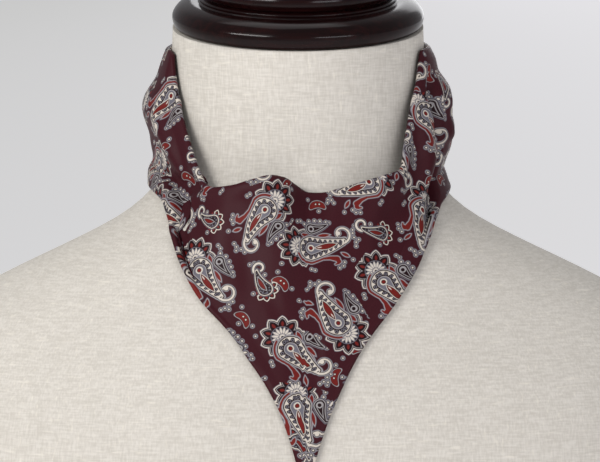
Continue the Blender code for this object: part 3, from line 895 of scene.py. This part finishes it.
scarf = {
    "rows": 104,
    "columnSteps": (0.62, 1.0, 2.0),  # degrees between columns in front, at the side and behind
    "columnChanges": ((40, 60), (80, 130)),  # angles over which one step becomes the next
    "fallSteps": 60,  # points down each line while it falls free, and then on the form
    "lyingSteps": 90,
    "frontHalf": 34.0,  # the flat cloth is sized and turned to fit the front as far as this
    "napeAngle": 170.0,  # past it the cloth under the hem keeps its column's angle
    "lift": 2.4,  # from the form to the cloth's outer face
    "wall": 0.55,
    # angle, stand off from the form, height of the folded edge
    "edge": [
        (-180, 2.6, 513), (-171, 2.6, 516.5), (-163, 2.6, 523), (-150, 2.5, 528),
        (-120, 2.5, 524), (-105, 2.5, 520.5), (-90, 2.5, 519), (-80, 2.5, 518.5),
        (-72, 2.6, 516.5), (-68, 2.9, 506.5), (-62, 4.1, 494.5), (-55, 6.4, 482.7),
        (-48, 9.3, 471.8), (-42, 11.9, 462.4), (-38.5, 12.4, 455.5), (-34, 13, 453.4),
        (-25.5, 16, 454.7), (-17.5, 17.6, 457.4), (-11, 17, 459), (-5, 13.4, 457.6),
        (-0.5, 6.9, 453.9), (5, 2.8, 450.7), (10, 2.8, 450.7), (16, 5.1, 452.3),
        (25.5, 9.8, 455.7), (35.5, 12.3, 459.3), (42, 12, 461), (44.5, 11.4, 463.5),
        (47, 9.9, 471), (50.5, 8.1, 480.5), (54, 6.5, 490), (61, 4.2, 502), (66, 3.1, 513),
        (70, 2.6, 518.5), (80, 2.5, 519.5), (90, 2.5, 519.8), (106, 2.5, 521.5),
        (130, 2.5, 527.5), (150, 2.5, 529), (163, 2.6, 524.5), (171, 2.6, 517), (180, 2.6, 513),
    ],
    # angle either side, how the cloth leaves the edge, its pull as it comes down, where it rests
    "fall": [
        (0, 5, -6, -21.5, 60, 350), (4, 5, -6, -21.5, 60, 350), (7.5, 5, -6, -22, 59, 351.5),
        (11, 5, -6, -22, 56, 358), (16, 5, -6, -22, 48, 369), (21, 5, -6, -20, 40, 382),
        (26, 5, -6, -17, 32, 396), (33, 5, -6.5, -14, 24, 411), (41, 5, -7, -12, 18, 426),
        (50, 5, -8, -7, 18, 437), (60, 5, -9, 3, 20, 446), (75, 5, -11, 7, 20, 454),
        (90, 5, -13, 9, 18, 458), (110, 5, -12, 9, 18, 464), (130, 4.5, -8, 5, 17, 473),
        (150, 3.5, -4, 3, 13, 486), (168, 2.5, -1, 1, 7, 500), (180, 2, -1, 0.5, 5, 503),
    ],
    "hem": [  # angle, height
        (-180, 497), (-168, 492), (-150, 477), (-130, 464), (-110, 455), (-90, 450), (-75, 447.5),
        (-63, 444), (-54, 437), (-46, 428), (-36.5, 412.6), (-29.3, 399.8), (-22, 389.5),
        (-17, 381.3), (-12.8, 372.3), (-9.6, 365.3), (-6.5, 357), (-4, 348.3), (-1.8, 337.5),
        (0.2, 325.5), (1.8, 315), (3.5, 325.5), (5.6, 338), (8, 349), (10.4, 358), (13.2, 367),
        (17.4, 377.6), (21.6, 385.8), (27.5, 395.4), (36.7, 410.6), (45, 423.5), (54, 434.5),
        (64, 441.5), (75, 445.5), (90, 449), (110, 455), (130, 464), (150, 477), (168, 492),
        (180, 497),
    ],
    "leastLying": 9.0,  # the cloth lies on the form at least this far above its hem
    # side, share of the way to the hem, half width, height, angles where it fades and is full
    "gathers": [
        (-1, 0.415, 0.235, 4.2, 34, 76), (-1, 0.90, 0.15, 3.4, 22, 64),
        (1, 0.07, 0.105, 0.6, 60, 84), (1, 0.33, 0.19, 3.6, 46, 78),
        (1, 0.60, 0.28, 3.8, 30, 70), (1, 0.90, 0.19, 2.4, 20, 58),
        (-1, 0.16, 0.085, 3.6, 102, 136), (-1, 0.42, 0.07, 3.8, 108, 148),
        (-1, 0.68, 0.095, 4.2, 98, 140), (1, 0.14, 0.075, 3.4, 106, 142),
        (1, 0.37, 0.09, 4.0, 100, 136), (1, 0.63, 0.07, 3.6, 110, 152),
    ],
    # main creases, placed on the flat cloth: depth (a ridge is below zero), half width, shares of
    # the length over which it starts and ends, then its course
    "creases": [
        (3.2, 8.0, 0.3, 0.6, [(-48, 460), (-66, 454.5), (-80, 450), (-97, 445)]),
        (4.4, 6.5, 0.25, 0.45, [(-70, 455), (-72, 446), (-66, 435), (-60, 424), (-51, 412),
                                (-42, 400)]),
        (-1.3, 13.0, 0.3, 0.4, [(-46, 452), (-42, 434), (-34, 414), (-26, 396), (-20, 384)]),
        (4.8, 6.0, 0.12, 0.3, [(115, 500), (106, 486), (102, 471), (98, 458), (87, 445), (72, 435),
                               (58, 422)]),
        (-2.2, 7.5, 0.3, 0.4, [(99, 492), (92, 478), (88, 463), (79, 449), (64, 438), (50, 424)]),
        (-1.8, 7.0, 0.3, 0.4, [(122, 492), (117, 478), (113, 464), (108, 452)]),
        (1.3, 9.0, 0.3, 0.5, [(58, 458), (48, 438), (40, 416), (33, 399)]),
        (1.0, 5.0, 0.3, 0.4, [(-34, 452), (-20, 447.5), (-6, 446), (6, 446.5)]),
        (-0.9, 8.0, 0.4, 0.4, [(-46, 449), (-26, 438), (-4, 430), (14, 426)]),
        (-0.8, 5.5, 0.4, 0.2, [(16, 408), (14, 382), (12, 352), (9, 334)]),
        (0.8, 7.0, 0.4, 0.4, [(-18, 414), (-9, 396), (-2, 374), (3, 352)]),
        (0.7, 9.0, 0.5, 0.5, [(36, 446), (22, 436), (4, 434), (-12, 438)]),
        (1.6, 5.0, 0.3, 0.4, [(-88, 503), (-96, 490), (-108, 479), (-124, 472)]),
        (1.4, 5.0, 0.3, 0.5, [(94, 470), (106, 462), (120, 459), (138, 462)]),
    ],
    "ripple": (0.42, 34.0),  # height and breadth of the small unevenness all over
    "napeFade": (118.0, 180.0, 0.34),  # where the gathers close towards the knot, and how far
    "calm": (0.05, 0.97),  # shares between which the cloth has its folds
    "returnTop": 12.0,  # the cloth goes on inside the folded edge and under the hem
    "returnHem": 9.0,
    "returnLeast": 0.5,
    "rollTop": 0.85,
    "rollHem": 0.75,
    "rollStep": 26,
    "returnRows": 6,
    # angle, extra radius where the folded edge rolls over softly
    "softRoll": [(-22, 0.0), (-14, 1.3), (-8, 2.6), (-3, 2.4), (2, 0.9), (7, 0.0)],
}


def scarfAngles():
    # columns closer together in front, where the point hangs
    near, middle, far = scarf["columnSteps"]
    first, second = scarf["columnChanges"]
    angles = [0.0]
    while angles[-1] < 180:
        at = angles[-1]
        wider, widest = (middle - near) * ease(at, *first), (far - middle) * ease(at, *second)
        angles.append(at + near + wider + widest)
    side = np.array(angles) * 180 / angles[-1]
    return np.concatenate([-side[::-1], side[1:]])


def fallLines(angles, rows):
    # each column hangs free from the folded edge, then lies on the form down to the hem
    edgeAngle, *edge = columnsOf(scarf["edge"])
    standOff, height = (through(edgeAngle, column, angles) for column in edge)
    radius = formRadius(angles, height) + standOff
    fallAngle, *fall = columnsOf(scarf["fall"])
    leave, rise, lean, pull, rest = (through(fallAngle, column, np.abs(angles)) for column in fall)
    hemHeight = through(*columnsOf(scarf["hem"]), angles)
    restHeight = softMaximum(rest, hemHeight + scarf["leastLying"])
    rest = offForm(angles, restHeight, scarf["lift"])
    restRadius = np.hypot(rest[:, 0], rest[:, 1])
    corners = [
        (radius, height), (radius + leave, height + rise),
        (restRadius + lean, rest[:, 2] + pull), (restRadius, rest[:, 2]),
    ]
    u = np.linspace(0, 1, scarf["fallSteps"], endpoint=False)[None, :]
    weights = ((1 - u) ** 3, 3 * u * (1 - u) ** 2, 3 * u * u * (1 - u), u**3)
    freeRadius, freeHeight = (
        sum(weight * values[:, None] for weight, values in zip(weights, column))
        for column in zip(*corners)
    )
    free = polar(angles[:, None], freeRadius, freeHeight)
    share = np.linspace(0, 1, scarf["lyingSteps"])[None, :]
    lyingHeight = restHeight[:, None] + (hemHeight - restHeight)[:, None] * share
    lying = offForm(angles[:, None], lyingHeight, scarf["lift"])
    trim = scarf["rollTop"], scarf["rollHem"]
    return np.array([evenly(line, rows, *trim) for line in np.concatenate([free, lying], axis=1)])


def surfaceNormals(grid):
    across = np.gradient(grid, axis=0)
    down = np.gradient(grid, axis=1)
    return unit(np.cross(down, across))


def gatherHeight(angle, share):
    size = np.abs(angle)
    start, end, low = scarf["napeFade"]
    closing = 1 - (1 - low) * ease(size, start, end)
    lifted = np.zeros(np.broadcast(angle, share).shape)
    for side, centre, half, height, fades, full in scarf["gathers"]:
        here = np.where(angle * side >= 0, 1, 0)
        lifted += here * height * closing * ease(size, fades, full) * bump((share - centre) / half)
    return lifted


def pathDistance(points, path):
    # distance to a path of points, and the share of the way along it
    path = np.asarray(path, float)
    starts = alongLine(path)
    best = np.full(points.shape[:-1], np.inf)
    along = np.zeros_like(best)
    for a, b, start, end in zip(path, path[1:], starts, starts[1:]):
        run = (b - a) / (end - start)
        offset = points - a
        t = np.clip(offset @ run, 0, end - start)
        distance = np.linalg.norm(offset - t[..., None] * run, axis=-1)
        nearer = distance < best
        best = np.where(nearer, distance, best)
        along = np.where(nearer, (start + t) / starts[-1], along)
    return best, along


def creaseHeight(flat):
    height = np.zeros(flat.shape[:-1])
    for depth, half, starting, ending, path in scarf["creases"]:
        away, along = pathDistance(flat, path)
        held = ease(along, 0, starting) * (1 - ease(along, 1 - ending, 1))
        height -= depth * held * bump(away / half)
    rise, breadth = scarf["ripple"]
    x, y = flat[..., 0] / breadth, flat[..., 1] / breadth
    waves = np.sin(2.1 * x + 1.3 * np.sin(1.7 * y + 0.4)) * np.sin(1.6 * y - 0.9 * x + 1.1)
    waves += 0.5 * np.sin(4.3 * x + 2.2 * y + 2.0 * np.sin(1.1 * x - 0.7))
    return height + rise * waves


def flattenCloth(grid, angles):
    # the cloth laid flat with the least stretch, then turned so that it lies as the front is seen
    i, j = (np.unique(np.append(np.arange(0, count, 2), count - 1)) for count in grid.shape[:2])
    points = grid[np.ix_(i, j)]
    mesh = gridMesh("flatCloth", points, points[..., [0, 2]])
    piece = addObject("flatCloth", mesh, silk)
    layer = bpy.context.view_layer
    for other in layer.objects:
        other.select_set(other == piece)
    layer.objects.active = piece
    bpy.ops.object.mode_set(mode="EDIT")
    bpy.ops.mesh.select_all(action="SELECT")
    bpy.ops.uv.unwrap(method="MINIMUM_STRETCH", iterations=16, margin=0.0, fill_holes=False)
    bpy.ops.object.mode_set(mode="OBJECT")
    corner = np.zeros(len(mesh.loops), np.int32)
    mesh.loops.foreach_get("vertex_index", corner)
    spread = np.zeros(len(mesh.loops) * 2, np.float32)
    mesh.uv_layers.active.data.foreach_get("uv", spread)
    flat = np.zeros((len(mesh.vertices), 2))
    flat[corner] = spread.reshape(-1, 2)
    flat = flat.reshape(len(i), len(j), 2)
    bpy.data.objects.remove(piece)
    bpy.data.meshes.remove(mesh)
    # the front keeps its true size
    front = np.abs(angles[i]) < scarf["frontHalf"]
    true = np.linalg.norm(np.diff(points[front], axis=1), axis=-1).sum()
    flat *= true / np.linalg.norm(np.diff(flat[front], axis=1), axis=-1).sum()
    seen, laid = points[front][..., [0, 2]].reshape(-1, 2), flat[front].reshape(-1, 2)
    middleSeen, middleLaid = seen.mean(0), laid.mean(0)
    u, _, vt = np.linalg.svd((laid - middleLaid).T @ (seen - middleSeen))
    flat = (flat - middleLaid) @ (u @ vt) + middleSeen
    # back to every point of the finer grid, first along one side and then along the other
    for known, count in zip((i, j), grid.shape):
        every = np.arange(count)
        flat = np.apply_along_axis(lambda line: np.interp(every, known, line), 0, flat)
        flat = flat.swapaxes(0, 1)
    return flat


def rolledBack(edge, normal, inward, radius, turns):
    # the cloth turned back round a line behind its edge, one row of points for each turn
    centre = edge - normal * radius
    return [
        centre + (normal * math.cos(turn) - inward * math.sin(turn)) * radius
        for turn in np.radians(turns)
    ]


def carriedOn(edge, inner, points):
    # the cloth's own plane carried on past an edge
    steps = np.cumsum(np.linalg.norm(np.diff(points, axis=1), axis=-1), axis=1)
    return edge[:, None] + unit(edge - inner)[:, None] * steps[..., None]


def makeScarf():
    angles = scarfAngles()
    rows = scarf["rows"]
    outer = fallLines(angles, rows)
    share = np.linspace(0, 1, rows)[None, :]
    flat = flattenCloth(outer, angles)
    # towards the hem and the folded edge the cloth lies flat again
    first, last = scarf["calm"]
    calm = ease(share, 0, first) * (1 - ease(share, last, 1.0))
    lift = gatherHeight(angles[:, None], share) + creaseHeight(flat) * calm
    outer = outer + surfaceNormals(outer) * lift[..., None]
    normals = surfaceNormals(outer)
    # over the folded edge and down inside it
    roll = (scarf["rollTop"] + through(*columnsOf(scarf["softRoll"]), angles))[:, None]
    down = unit(outer[:, 1] - outer[:, 0])
    over = rolledBack(outer[:, 0], normals[:, 0], down, roll, range(155, 1, -scarf["rollStep"]))
    spacing = np.linalg.norm(outer[:, 1] - outer[:, 0], axis=1)
    column = np.arange(len(angles))
    inside = []
    for depth in np.linspace(scarf["returnTop"], 0, scarf["returnRows"]):
        at = np.clip(depth / spacing, 0, rows - 1)
        low = np.floor(at).astype(int)
        high = np.minimum(low + 1, rows - 1)
        part = (at - low)[:, None]
        place, facing = (
            values[column, low] * (1 - part) + values[column, high] * part
            for values in (outer, normals)
        )
        inside.append(place - unit(facing) * 2 * roll)
    # under the hem, square to its edge, and back beneath the cloth
    hemPoint, hemNormal, hemRoll = outer[:, -1], normals[:, -1], scarf["rollHem"]
    inward = unit(np.cross(unit(np.gradient(hemPoint, axis=0)), hemNormal))
    inward *= np.sign(np.sum(inward * (outer[:, -3] - hemPoint), axis=1))[:, None]
    turns = range(scarf["rollStep"], 179, scarf["rollStep"])
    under = rolledBack(hemPoint, hemNormal, inward, hemRoll, turns)
    # near the point the two sides' returns stop short of each other
    room = 0.9 * np.abs(hemPoint[:, 0]) / np.maximum(np.abs(inward[:, 0]), 0.05)
    reach = np.clip(room, scarf["returnLeast"], scarf["returnHem"])
    lifted = scarf["lift"] - 2 * hemRoll
    beneath = []
    for part in np.linspace(0, 1, scarf["returnRows"]):
        moved = hemPoint + inward * (reach * part)[:, None]
        angle = np.degrees(np.arctan2(moved[:, 0], -moved[:, 1]))
        angle = np.where(np.abs(angles) > scarf["napeAngle"], angles, angle)
        beneath.append(offForm(angle, moved[:, 2], lifted))
    before, after = inside + over, under + beneath
    grid = np.concatenate([np.stack(before, 1), outer, np.stack(after, 1)], axis=1)
    top = carriedOn(flat[:, 0], flat[:, 2], grid[:, len(before)::-1])[:, ::-1]
    bottom = carriedOn(flat[:, -1], flat[:, -3], grid[:, -len(after) - 1:])
    uv = np.concatenate([top, flat, bottom], axis=1)
    piece = addObject("silkScarf", gridMesh("silkScarf", grid[::-1], uv[::-1]), silk)
    addWall(piece, scarf["wall"])
    finishPiece(piece, "silk", "front_drape", "side_band_left", "side_band_right")
    return piece


# the knot at the nape and the two ends below it

knot = {
    "centre": (0.0, 82.6, 504.0),
    "loop": (11.6, 14.6),  # half depth and half height of the band that is wound round
    "squareness": 0.86,  # 1 makes the loop an ellipse
    "pinch": 0.14,  # how much narrower the band is above and below
    "lean": 14.0,
    "halfWidth": 9.6,
    "thickness": 1.9,
    "bandSquareness": (0.8, 0.7),  # the same across the band and through it
    "pleats": (3, 0.9),  # count and depth
    "strandPleats": (4, 1.0),
    "innerPleats": 0.3,  # their share on the inner face
    "steps": (72, 48),  # stations round the loop, and points round the band
    "strandSteps": (26, 44),
    # the gathered cloth that comes in from each side: place, half height, half thickness
    "strand": [
        (19.0, 72.6, 507.0, 8.0, 2.2), (15.5, 76.5, 506.6, 9.4, 4.2), (10.5, 82.0, 505.5, 9.6, 6.4),
        (5.0, 84.0, 504.5, 8.4, 6.6), (0.0, 84.0, 504.0, 7.0, 6.0),
    ],
}


def signedPower(values, exponent):
    return np.sign(values) * np.abs(values) ** exponent


def sweepBand(shape, path, outward, halfWidths, halfThick, pleats, cross, closed=False):
    # a pleated band of cloth swept along a path; outward is its face's direction
    count, depth = pleats
    forward = np.roll(path, -1, 0) - np.roll(path, 1, 0) if closed else np.gradient(path, axis=0)
    forward = unit(forward)
    outward = unit(outward - forward * np.sum(outward * forward, axis=1, keepdims=True))
    sideways = np.cross(forward, outward)
    turn = roundTurns(cross)
    across, rise = map(signedPower, (np.cos(turn), np.sin(turn)), knot["bandSquareness"])
    ripple = depth * (1 - np.cos(2 * math.pi * count * (across + 1) / 2)) / 2
    pleated = np.where(rise > 0, 1, knot["innerPleats"])
    high = rise * halfThick[:, None] + pleated * (ripple - depth)
    wide = across * halfWidths[:, None]
    grid = path[:, None] + sideways[:, None] * wide[..., None] + outward[:, None] * high[..., None]
    along = alongLine(grid[:, 0])
    girth = np.cumsum(np.linalg.norm(grid - np.roll(grid, 1, 1), axis=2), axis=1)
    layer = shape.loops.layers.uv.active
    verts = [[shape.verts.new(Vector(p) * mm) for p in row] for row in grid]
    for i in range(len(verts) if closed else len(verts) - 1):
        k = (i + 1) % len(verts)
        low, far = along[i], along[k] if k else along[i] + along[1]
        for j in range(cross):
            n = (j + 1) % cross
            left = girth[i, j]
            right = girth[i, n] if n else left + girth[i, 1] - girth[i, 0]
            face = shape.faces.new((verts[i][j], verts[i][n], verts[k][n], verts[k][j]))
            for loop, corner in zip(
                face.loops, ((left, low), (right, low), (right, far), (left, far))
            ):
                loop[layer].uv = Vector(corner) / mapUnit
    if not closed:
        shape.faces.new(verts[0][::-1])
        shape.faces.new(verts[-1])


def makeKnot():
    shape = bmesh.new()
    shape.loops.layers.uv.new("cloth")
    deep, high = knot["loop"]
    lean = math.radians(knot["lean"])
    stations, cross = knot["steps"]
    turn = roundTurns(stations)
    c, s = np.cos(turn), np.sin(turn)
    y, z = (signedPower(v, knot["squareness"]) * half for v, half in ((c, deep), (s, high)))
    loop = np.stack([-z * math.sin(lean), y, z * math.cos(lean)], axis=1) + knot["centre"]
    outward = np.stack([0 * c, c / deep, s / high], axis=1)
    halfWidths = knot["halfWidth"] * (1 - knot["pinch"] * np.abs(s) ** 3)
    thickness = np.full(stations, knot["thickness"])
    sweepBand(shape, loop, outward, halfWidths, thickness, knot["pleats"], cross, closed=True)
    stations, cross = knot["strandSteps"]
    share, fine = np.linspace(0, 1, len(knot["strand"])), np.linspace(0, 1, stations)
    x, y, z, halfHigh, halfThick = (through(share, v, fine) for v in columnsOf(knot["strand"]))
    for side in (-1, 1):
        facing = np.stack([side * (1 - fine) * 0.9, 1 + 0 * fine, 0 * fine], axis=1)
        place = np.stack([side * x, y, z], axis=1)
        sweepBand(shape, place, facing, halfHigh, halfThick, knot["strandPleats"], cross)
    mesh = bpy.data.meshes.new("napeKnot")
    closeShape(shape, mesh)
    mesh.shade_smooth()
    piece = addObject("napeKnot", mesh, silk)
    finishPiece(piece, "silk", "nape_knot")
    return piece


tails = {
    "stations": 84,
    "cross": 41,
    "wall": 0.5,
    "pleats": 1.25,  # across the end
    "hemRadius": 0.7,
    "hemUneven": 0.12,  # a share of its radius, because it is rolled by hand
    "hemSink": 0.15,  # from the cloth's edge down to the roll's middle
    "hemSides": 10,
    "hemStations": 150,
    "stitchSpacing": 3.2,
    "stitchLength": 1.5,
    "stitchSlant": 38.0,
    "stitchRise": 0.9,  # a share of the roll's radius
    "thread": 0.13,
    # share of the length, place across the back, stand off, height, half width, pleat depth
    "left": [
        (0, -8, 15, 501, 7, 0.6), (0.22, -20, 11, 479, 9.5, 1.8), (0.48, -33, 6.5, 451, 14, 2.8),
        (0.74, -44, 4.6, 421, 14.5, 2.4), (1, -53, 3.4, 392, 1.2, 0),
    ],
    "right": [
        (0, 8, 15, 501, 7, 0.6), (0.22, 18, 11.5, 478, 9.5, 1.8), (0.48, 27, 7, 449, 14.5, 3),
        (0.74, 33, 4.8, 416, 15.5, 2.6), (1, 36, 3.4, 380, 1.2, 0),
    ],
}


def tailGrid(rows):
    share, *columns = columnsOf(rows)
    fine = np.linspace(0, 1, tails["stations"])
    across, standOff, height, half, pleat = (through(share, column, fine) for column in columns)
    angle = 180 - np.degrees(np.arcsin(across / formRadius(180, height)))
    out = formNormal(angle, height)
    centre = formPoint(angle, height) + out * (standOff + pleat)[:, None]
    sideways = unit(np.cross(unit(np.gradient(centre, axis=0)), out))
    wide = np.linspace(-1, 1, tails["cross"])
    wave = -pleat[:, None] * (1 - np.cos(tails["pleats"] * 2 * math.pi * wide)) / 2
    aside = half[:, None] * wide
    return centre[:, None] + sideways[:, None] * aside[..., None] + out[:, None] * wave[..., None]


def rolledEdge(grid):
    # the rolled edge of the square: down one side of the end, round its corner and up the other
    edges = np.concatenate([grid[:, 0], grid[-1, 1:-1], grid[::-1, -1]])
    apart = np.append(True, np.linalg.norm(np.diff(edges, axis=0), axis=1) > 0.05)
    path = evenly(edges[apart], tails["hemStations"])
    forward = unit(np.gradient(path, axis=0))
    side = unit(np.cross(forward, (0, 1, 0.25)))
    out = np.cross(side, forward)
    turn = roundTurns(tails["hemSides"])
    thick = tails["hemRadius"]
    radius = thick * (1 + tails["hemUneven"] * np.sin(path[:, 2] * 1.9 + path[:, 0]))
    ring = side[:, None] * np.cos(turn)[:, None] + out[:, None] * np.sin(turn)[:, None]
    centre = path - out * tails["hemSink"]
    line = centre + out * thick * tails["stitchRise"]
    uv = np.stack(np.broadcast_arrays(turn * thick, alongLine(path)[:, None]), axis=-1)
    return line, centre[:, None] + ring * radius[:, None, None], uv


def stitchTree():
    # one slanted thread at even steps along a line
    tree = bpy.data.node_groups.new("hemStitches", "GeometryNodeTree")
    sockets = {
        "Line": "Geometry", "Spacing": "Float", "Length": "Float", "Thread": "Float",
        "Slant": "Float", "Material": "Material",
    }
    for name, kind in sockets.items():
        tree.interface.new_socket(name, in_out="INPUT", socket_type="NodeSocket" + kind)
    tree.interface.new_socket("Stitches", in_out="OUTPUT", socket_type="NodeSocketGeometry")
    given = tree.nodes.new("NodeGroupInput").outputs

    def step(kind, inputs, **settings):
        return addNode(tree, kind, inputs, **settings).outputs[0]

    curve = step("GeometryNodeMeshToCurve", {"Mesh": given["Line"]})
    spaced = step(
        "GeometryNodeResampleCurve", {"Curve": curve, "Length": given["Spacing"]}, mode="LENGTH"
    )
    tangent = step("GeometryNodeInputTangent", {})
    lined = step("FunctionNodeAlignRotationToVector", {"Vector": tangent}, axis="Z")
    turned = step("FunctionNodeAxisAngleToRotation", {"Axis": (1, 0, 0), "Angle": given["Slant"]})
    slanted = step(
        "FunctionNodeRotateRotation", {"Rotation": lined, "Rotate By": turned},
        rotation_space="LOCAL",
    )
    strand = step("GeometryNodeMeshCylinder", {
        "Vertices": 6, "Radius": given["Thread"], "Depth": given["Length"],
    })
    placed = step("GeometryNodeInstanceOnPoints", {
        "Points": spaced, "Instance": strand, "Rotation": slanted,
    })
    real = step("GeometryNodeRealizeInstances", {0: placed})
    dyed = step("GeometryNodeSetMaterial", {"Geometry": real, "Material": given["Material"]})
    addNode(tree, "NodeGroupOutput", {0: dyed})
    return tree


def sewLine(name, line, tree):
    mesh = bpy.data.meshes.new(name)
    mesh.from_pydata((line * mm).tolist(), [(i, i + 1) for i in range(len(line) - 1)], [])
    piece = addObject(name, mesh)
    sewn = piece.modifiers.new("stitches", "NODES")
    sewn.node_group = tree
    values = {
        "Spacing": tails["stitchSpacing"] * mm, "Length": tails["stitchLength"] * mm,
        "Thread": tails["thread"] * mm, "Slant": math.radians(tails["stitchSlant"]),
        "Material": thread,
    }
    for socket in tree.interface.items_tree:
        if socket.name in values:
            sewn[socket.identifier] = values[socket.name]
    return piece


def makeTails():
    made = {}
    tree = stitchTree()
    for side in ("left", "right"):
        grid = tailGrid(tails[side])
        along = alongLine(grid[:, grid.shape[1] // 2])
        steps = np.linalg.norm(np.diff(grid, axis=1), axis=2)
        wide = np.concatenate([np.zeros((len(grid), 1)), np.cumsum(steps, axis=1)], axis=1)
        wide -= wide[:, -1:] / 2
        uv = np.stack([wide, np.broadcast_to(along[:, None], wide.shape)], axis=-1)
        piece = addObject("silkTail" + side.capitalize(), gridMesh("tail", grid, uv), silk)
        addWall(piece, tails["wall"])
        finishPiece(piece, "silk", "tail_" + side)
        line, roll, rollUv = rolledEdge(grid)
        mesh = gridMesh("hem", roll, rollUv, closedAcross=True)
        hem = addObject("rolledHem" + side.capitalize(), mesh, silk)
        stitches = sewLine("hemStitches" + side.capitalize(), line, tree)
        for onIt in (hem, stitches):
            finishPiece(onIt, "silk")
        made[side] = (piece, [hem, stitches])
    return made


scarfPiece = makeScarf()
print("scarf made")
knotPiece = makeKnot()
tailPieces = makeTails()
print("knot, ends and stitched hems made")
